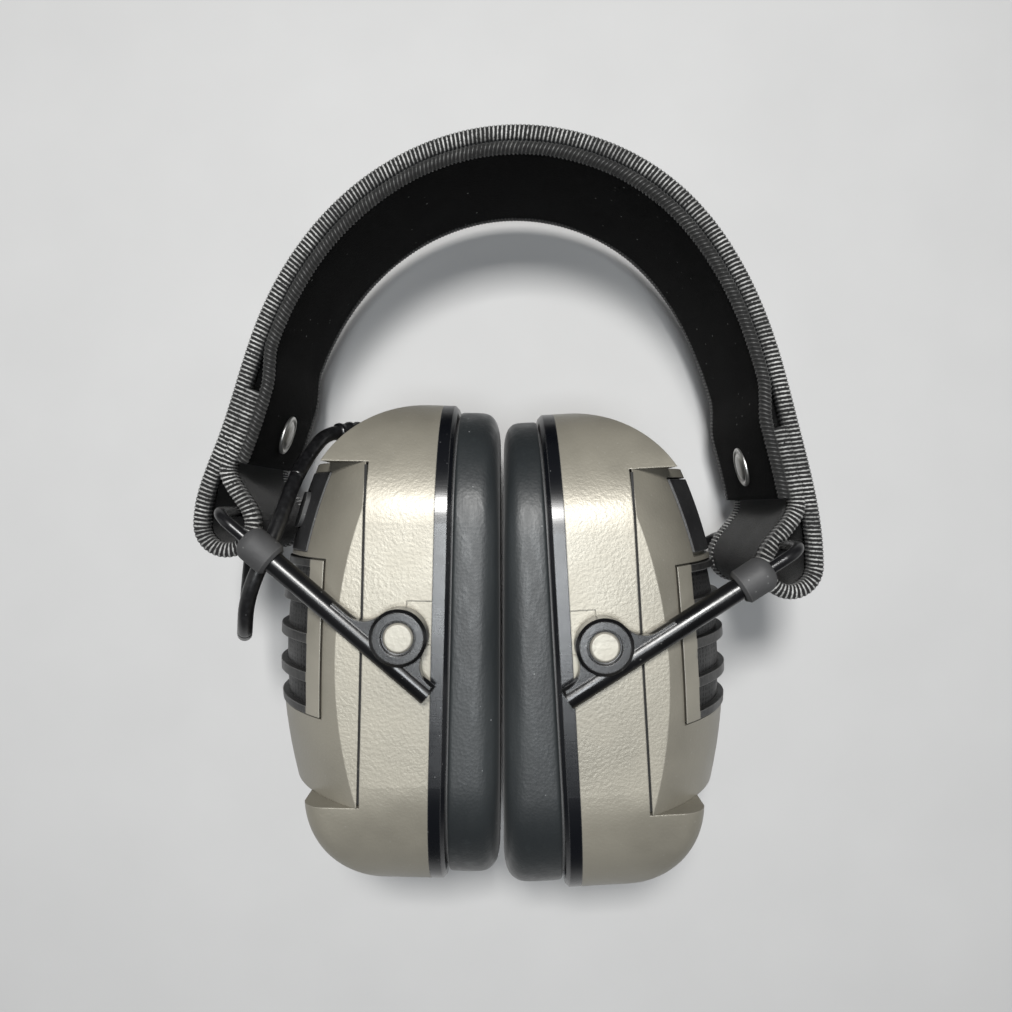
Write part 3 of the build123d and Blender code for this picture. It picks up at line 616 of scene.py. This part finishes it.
def edge_section(half_thick, edge, grip, proud, side):
    """A tape folded over one edge of a strap, as (inset, height) points."""
    legs = np.linspace(0, 1, 4)
    outer = [(half_thick + 0.12 + 0.3 * t, edge - grip * (1 - t) - 0.5) for t in legs]
    turn = np.radians(np.linspace(12, 168, 9))
    reach = half_thick + 0.42
    tip = [(reach * cos(a), edge - 0.5 + (proud + 0.5) * sin(a)) for a in turn]
    inner = [(-x, h) for x, h in reversed(outer)]
    return np.array(outer + tip + inner) * (1, side)


def ribs(line, section, pitch, slant, lift, shift=0.0, thin=0.5):
    """Ring points of a ribbed tape, and how high on a rib each point is."""
    places = np.arange(len(line)) * np.linalg.norm(line[1] - line[0])
    inset = section[:, 0]
    wave = np.sin(pi * (places[:, None] + slant * inset[None] + shift) / pitch) ** 2
    uneven = [noise.noise((place * 0.8, 5.0, shift)) for place in places]
    rib = wave**thin * (0.94 + 0.12 * np.array(uneven)[:, None])
    middle = section.mean(axis=0)
    outward = section - (0, middle[1])
    outward /= np.linalg.norm(outward, axis=1)[:, None] + 1e-9
    swollen = section[None] + outward[None] * (rib[..., None] - 0.5) * lift
    return strip(line, swollen), rib


def edge_tape(name, line, shape, ribbing, material, node):
    """Ribbed tape folded over both long edges of the strap or the liner."""
    points, heights, faces = [], [], []
    for end in (1, -1):
        section = edge_section(*shape, end)
        rings, rib = ribs(line, section, *ribbing)
        offset = sum(len(p) for p in points)
        points.append(rings.reshape(-1, 3))
        heights.append(rib.ravel())
        around = tube_faces(len(line), len(section))
        faces += [tuple(i + offset for i in face) for face in around]
    piece(
        name, np.concatenate(points), faces, material, "binding_tape", "headband", [node],
        rib=np.concatenate(heights),
    )


RIB = 0.93
WEBBING, WEBBING_AT = resampled(webbing_line(), 1.0)
section = flat_section(STRAP / 2, STRAP_HALF)
wave = [noise.noise((a * 0.05, j * 0.21, 3.0)) for a in WEBBING_AT for j in range(len(section))]
billow = np.array(wave).reshape(len(WEBBING), len(section), 1)
shaped = section[None] + billow * (0.22, 0.0)
rings = strip(WEBBING, shaped)
cloth = np.zeros((*rings.shape[:2], 3))
cloth[..., 0] = WEBBING_AT[:, None]
cloth[..., 1] = section[None, :, 1]
piece(
    "webbing_strap", rings.reshape(-1, 3), tube_faces(len(WEBBING), len(section)),
    webbing_weave(), "strap_fabric", "headband", ["headband_strap"], cloth=cloth.reshape(-1, 3),
)

fine_webbing, _ = resampled(webbing_line(), RIB / 6)
edge_tape(
    "strap_edge_tape", fine_webbing, (STRAP / 2, STRAP_HALF, 4.2, 0.75), (RIB, 0.12, 0.24),
    ribbed_tape("strap_tape", (0.42, 0.42, 0.41), 0.45), "strap_binding",
)


def liner_inset(place):
    """The liner runs over both returned ends and sinks back onto the spring between them."""
    share = np.clip((min(place, RUN - place) - LEFT_SNAP - FLAP_END - 1) / 11, 0, 1)
    return TUCKED_INSET + (LINER_INSET - TUCKED_INSET) * share * share * (3 - 2 * share)


def liner_line(step):
    places = np.linspace(LINER_START, RUN - LINER_START, 240)
    return resampled(np.array([inside(place, liner_inset(place)) for place in places]), step)


LINER_PATH, LINER_AT = liner_line(1.2)
section = flat_section(LINER / 2, LINER_HALF, 22)
face = (section[:, 0] > 0) * np.clip(1 - (section[:, 1] / LINER_HALF) ** 2, 0, 1) ** 0.5
quilt = np.array(
    [
        [noise.noise((a * 0.07, h * 0.05, 9.0)) for h in section[:, 1]]
        for a in LINER_AT
    ]
)
shaped = section[None] + ((0.25 + 0.5 * quilt) * face[None])[..., None] * (1.0, 0.0)
rings = strip(LINER_PATH, shaped)
liner = piece(
    "padded_lining", rings.reshape(-1, 3), tube_faces(len(LINER_PATH), len(section)),
    velvet(), "liner_fabric", "headband", ["headband_liner"],
)

fine_liner, _ = liner_line(RIB / 6)
edge_tape(
    "liner_edge_tape", fine_liner, (LINER / 2 - 0.1, LINER_HALF, 1.6, 1.0),
    (RIB, 0.42, 0.26, 0.35, 0.6),
    ribbed_tape("liner_tape", (0.060, 0.060, 0.058), 0.3), "liner_binding",
)


# ---- snap caps ------------------------------------------------------------------------------
def turned(profile, base, axis, around=48):
    """A lathe shape: profile of (radius, distance along the axis) from a base point."""
    axis = Vector(axis).normalized()
    side_way = axis.orthogonal().normalized()
    other = axis.cross(side_way)
    points = []
    for radius, reach in profile:
        for k in range(around):
            turn = 2 * pi * k / around
            spoke = side_way * cos(turn) + other * sin(turn)
            points.append(Vector(base) + axis * reach + spoke * radius)
    return points, tube_faces(len(profile), around)


CAP = [
    (0.4, -1.0), (1.3, -1.0), (1.3, -0.3), (4.2, -0.3), (4.7, -0.1), (4.8, 0.2), (4.7, 0.5),
    (4.45, 0.68), (4.1, 0.7), (3.9, 0.6), (3.7, 0.45), (3.45, 0.45), (3.2, 0.6),
    (2.9, 0.78), (2.3, 0.9), (1.2, 0.98), (0.3, 1.0),
]
cap_points, cap_faces = [], []
for place in (LEFT_SNAP, RUN - RIGHT_SNAP):
    foot = inside(place, TUCKED_INSET + LINER / 2 + 0.35)
    way = inside(place, 1) - inside(place, 0)
    points, faces = turned(CAP, (*foot, MIDDLE), (*way, 0))
    cap_faces += [tuple(i + len(cap_points) for i in face) for face in faces]
    cap_points += points
piece("snap_fasteners", cap_points, cap_faces, NICKEL, "snap_metal", "headband", ["snap_caps"])


# ---- ear cushions ---------------------------------------------------------------------------
CUP_TOP, CUP_BOTTOM, HALF_WIDTH, CORNER = 49.8, -58.4, 36.5, 27.0
CUP_MIDDLE = (CUP_TOP + CUP_BOTTOM) / 2
CUP_HEIGHT = CUP_TOP - CUP_BOTTOM
CUSHION_BACK = -9.8
FOAM_FRONT, FOAM_BACK = -2.6, 0.5
EAR_OPENING = 65.0, 39.0, 18.5  # height, width and corner of the opening in a cushion
CONTACT, CONTACT_GAP = -1.45, 0.2
LEATHER = leather()
FOAM = open_foam()


def rounded_loop(height, width, corner, count):
    """Points round a rounded rectangle centred on the cup, as (up, across)."""
    runs = []
    for sx, sy, start in ((1, 1, 0), (-1, 1, 90), (-1, -1, 180), (1, -1, 270)):
        turn = np.radians(np.linspace(start, start + 90, 60))
        centre = np.array([sx * (height / 2 - corner), sy * (width / 2 - corner)])
        runs.append(centre + corner * np.stack([np.cos(turn), np.sin(turn)], axis=1))
    line = np.concatenate(runs + [runs[0][:1]])
    even, _ = resampled(line, 0.5)
    places = np.linspace(0, len(even) - 1, count, endpoint=False)
    index = np.arange(len(even))
    return np.stack([np.interp(places, index, axis) for axis in even.T], axis=1)


def to_row(side, station, up, across):
    """A cup's own station, height and width, as points of the row frame in millimetres."""
    facts = SIDES[side]
    lean = radians(facts["tilt"])
    sign = facts["out"]
    x = facts["pivot"][0] + sign * cos(lean) * station - sign * sin(lean) * up
    y = facts["pivot"][1] + sin(lean) * station + cos(lean) * up
    return np.stack([x, y, MIDDLE + sign * across], axis=-1)


def contact_station(side, up, back_off=0.0):
    """How far out the plane between the two cushions is, at this height."""
    facts = SIDES[side]
    lean = radians(facts["tilt"])
    sign = facts["out"]
    plane = CONTACT + sign * (CONTACT_GAP + back_off)
    return (plane - facts["pivot"][0] + sign * sin(lean) * up) / (sign * cos(lean))


def puffed(made, still, cap, pressure=4.0):
    """Blow a closed mesh up with a short cloth simulation; still says which points hold."""
    before = np.array([v.co for v in made.data.vertices])
    group = made.vertex_groups.new(name="held")
    held = [int(i) for i in np.nonzero(still(before))[0]]
    group.add(held, 1.0, "REPLACE")
    cloth_step = made.modifiers.new("cloth", "CLOTH")
    settings = cloth_step.settings
    settings.quality = 6
    settings.mass = 0.15
    settings.tension_stiffness = settings.compression_stiffness = 12
    settings.shear_stiffness = 6
    settings.bending_stiffness = 0.4
    settings.use_pressure = True
    settings.uniform_pressure_force = pressure
    settings.vertex_group_mass = "held"
    settings.effector_weights.gravity = 0.0
    cloth_step.collision_settings.use_collision = False
    cloth_step.collision_settings.use_self_collision = False
    scene = bpy.context.scene
    for number in range(1, 21):
        scene.frame_set(number)
    graph = bpy.context.evaluated_depsgraph_get()
    shaped = made.evaluated_get(graph).to_mesh()
    after = np.array([v.co for v in shaped.vertices])
    made.evaluated_get(graph).to_mesh_clear()
    made.modifiers.clear()
    made.vertex_groups.clear()
    scene.frame_set(1)
    move = after - before
    length = np.linalg.norm(move, axis=1)[:, None]
    move *= np.minimum(1, cap * MM / np.maximum(length, 1e-9))
    made.data.vertices.foreach_set("co", (before + move).ravel())
    made.data.update()


def applied(made, kind, **settings):
    step = made.modifiers.new(kind.lower(), kind)
    for key, value in settings.items():
        setattr(step, key, value)
    bpy.context.view_layer.update()
    graph = bpy.context.evaluated_depsgraph_get()
    shaped = bpy.data.meshes.new_from_object(made.evaluated_get(graph))
    made.modifiers.clear()
    old = made.data
    made.data = shaped
    bpy.data.meshes.remove(old)
    shaped.shade_smooth()


def outward(side):
    """The direction a cup's stations run in, and its pivot in metres."""
    facts = SIDES[side]
    lean = radians(facts["tilt"])
    way = np.array([facts["out"] * cos(lean), sin(lean), 0])
    return way, np.array([*facts["pivot"], 0]) * MM


def cushion_points(side, around, count):
    """Rings of a cushion's section: nearly square at the plate, rounded towards the ear."""
    outer = rounded_loop(CUP_HEIGHT - 3.0, 2 * HALF_WIDTH - 3.0, CORNER - 1.5, around)
    inner = rounded_loop(*EAR_OPENING, around)
    turn = np.linspace(0, 2 * pi, count, endpoint=False)
    front = np.sin(turn) > 0
    across = np.sign(np.cos(turn)) * np.abs(np.cos(turn)) ** np.where(front, 0.50, 0.14)
    deep = np.sign(np.sin(turn)) * np.abs(np.sin(turn)) ** np.where(front, 0.75, 0.14)
    plan = inner[:, None] + (outer - inner)[:, None] * ((across + 1) / 2)[None, :, None]
    up = plan[..., 0] + CUP_MIDDLE
    depth = CUSHION_BACK - 0.1 - contact_station(side, up, 0.1)
    station = CUSHION_BACK - 0.1 - depth * (deep[None] + 1) / 2
    return to_row(side, station, up, plan[..., 1]).reshape(-1, 3)


def pressed_flat(side, places):
    """The points held back by the other cushion in front and by the plate behind."""
    sign = SIDES[side]["out"]
    plane = (CONTACT + sign * (CONTACT_GAP + 0.02)) * MM
    over = sign * (places[:, 0] - plane)
    soft = 0.35 * MM
    eased = np.where(over < soft, soft * np.exp((over - soft) / soft), over)
    places[:, 0] = plane + sign * eased
    way, base = outward(side)
    excess = np.maximum(0, (places - base) @ way - (CUSHION_BACK + 0.1) * MM)
    return places - excess[:, None] * way


def ear_cushion(side):
    around, count = 200, 30
    made = piece(
        f"{side}_cushion_pad", cushion_points(side, around, count),
        tube_faces(around, count, closed=True),
        LEATHER, "cushion_skin", None, [f"{side}_ear_cushion"],
    )
    way, base = outward(side)
    puffed(made, lambda places: (places - base) @ way > (CUSHION_BACK - 0.8) * MM, 1.6)
    applied(made, "SUBSURF", levels=1)
    places = pressed_flat(side, np.array([v.co for v in made.data.vertices]))
    made.data.vertices.foreach_set("co", places.ravel())
    made.data.update()
    made.data.shade_smooth()
    made.data.materials.clear()
    made.data.materials.append(LEATHER)
    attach(made, f"{side}_cup")


def foam_pad(side):
    """Open foam behind the cushion's opening, dimpled and crowned towards the ear."""
    rings_out, around = 26, 96
    outline = rounded_loop(CUP_HEIGHT - 13, 2 * HALF_WIDTH - 13, CORNER - 6.5, around)
    shares = np.linspace(0.03, 1.0, rings_out)
    front, back = [], []
    for share in shares:
        loop = outline * share
        rise = 1.6 * (1 - share**2)
        dimple = 0.45 * np.cos(loop[:, 0] * 0.85) * np.cos(loop[:, 1] * 0.85) * (share < 0.97)
        round_off = 1.2 * max(0, share - 0.9) ** 2 * 100
        up, across = loop[:, 0] + CUP_MIDDLE, loop[:, 1]
        front.append(to_row(side, FOAM_FRONT - rise - dimple + round_off, up, across))
        back.append(to_row(side, np.full(around, FOAM_BACK), up, across))
    points = np.concatenate(front + back[::-1])
    made = piece(
        f"{side}_foam_pad", points, tube_faces(2 * rings_out, around), FOAM, "foam",
        f"{side}_cup", [f"{side}_foam_liner"],
    )


for side in SIDES:
    ear_cushion(side)
    foam_pad(side)


# ---- cable ----------------------------------------------------------------------------------
CABLE = 1.65
CABLE_ROUTE = [
    (-24.0, 17.0, 37.5),
    (-41.0, 23.1, 45.0),
    (-46.6, 11.8, 62.0),
    (-49.0, -4.0, 75.5),
    (-54.5, -16.0, 76.5),
    (-57.5, -26.5, 67.5),
    (-61.5, -26.0, 52.5),
    (-62.8, -14.5, 45.0),
    (-62.0, -2.2, 43.0),
]


def nurbs_line(route):
    """The points of the smooth spline whose control points are the route."""
    data = bpy.data.curves.new("route", "CURVE")
    data.dimensions = "3D"
    spline = data.splines.new("NURBS")
    spline.points.add(len(route) - 1)
    for point, place in zip(spline.points, route):
        point.co = (*(Vector(place) * MM), 1)
    spline.order_u = 3
    spline.use_endpoint_u = True
    data.resolution_u = 24
    holder = bpy.data.objects.new("route", data)
    bpy.context.scene.collection.objects.link(holder)
    bpy.context.view_layer.update()
    graph = bpy.context.evaluated_depsgraph_get()
    flat = bpy.data.meshes.new_from_object(holder.evaluated_get(graph))
    line = np.array([v.co for v in flat.vertices]) / MM
    bpy.data.meshes.remove(flat)
    bpy.data.objects.remove(holder)
    bpy.data.curves.remove(data)
    return line


def round_tube(line, radii, around=20):
    """A tube along a line in space, turned as little as possible from ring to ring."""
    way = np.gradient(line, axis=0)
    way /= np.linalg.norm(way, axis=1)[:, None]
    side_way = np.cross(way[0], (0, 0, 1.0))
    points = []
    for place, ahead, radius in zip(line, way, radii):
        side_way = side_way - ahead * side_way.dot(ahead)
        side_way /= np.linalg.norm(side_way)
        other = np.cross(ahead, side_way)
        for k in range(around):
            turn = 2 * pi * k / around
            points.append(place + radius * (cos(turn) * side_way + sin(turn) * other))
    return points, tube_faces(len(line), around)


CABLE_LINE, CABLE_AT = resampled(nurbs_line(CABLE_ROUTE), 0.7)
STRETCHES = (
    ("cup_cable", "left_cup", "left_slider"),
    ("slider_cable", "left_slider", "left_arm"),
    ("strap_cable", "left_arm", "headband"),
)
cuts = [round(len(CABLE_LINE) * k / 3) for k in range(3)] + [len(CABLE_LINE) - 1]
for (name, near, far), low, high in zip(STRETCHES, cuts, cuts[1:]):
    line = CABLE_LINE[low : high + 1]
    points, faces = round_tube(line, [CABLE] * len(line))
    made = piece(name, points, faces, CABLE_SKIN, "cable_rubber", None, ["left_cable"])
    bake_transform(made)

relief = CABLE_LINE[(CABLE_AT > 6.5) & (CABLE_AT < 20.5)]
share = np.linspace(0, 1, len(relief))
ring_step = 0.16 * np.sign(np.sin(share * 5.5 * 2 * pi)) * (share > 0.3)
relief_radii = np.where(share < 0.28, 3.2, 3.05 - 1.05 * share) + ring_step
points, faces = round_tube(relief, relief_radii, 28)
piece(
    "cable_strain_relief", points, faces, CABLE_SKIN, "dark_rubber", "left_cup",
    ["left_cable_gland"],
)


# ---- floor ----------------------------------------------------------------------------------
def floor():
    span = 900.0
    height = cad_box[0][2] / MM
    corners = [(x * span, y * span, height) for x, y in ((-1, -1), (1, -1), (1, 1), (-1, 1))]
    data = bpy.data.meshes.new("floor")
    data.from_pydata([tuple(c * MM for c in corner) for corner in corners], [], [(0, 1, 2, 3)])
    made = bpy.data.objects.new("floor", data)
    bpy.context.scene.collection.objects.link(made)
    look = Look("pale_floor")
    tone = look.blend(look.grain(30.0, 4.0), (0.50, 0.50, 0.50), (0.55, 0.55, 0.55))
    data.materials.append(look.done(tone, 0.9))


floor()
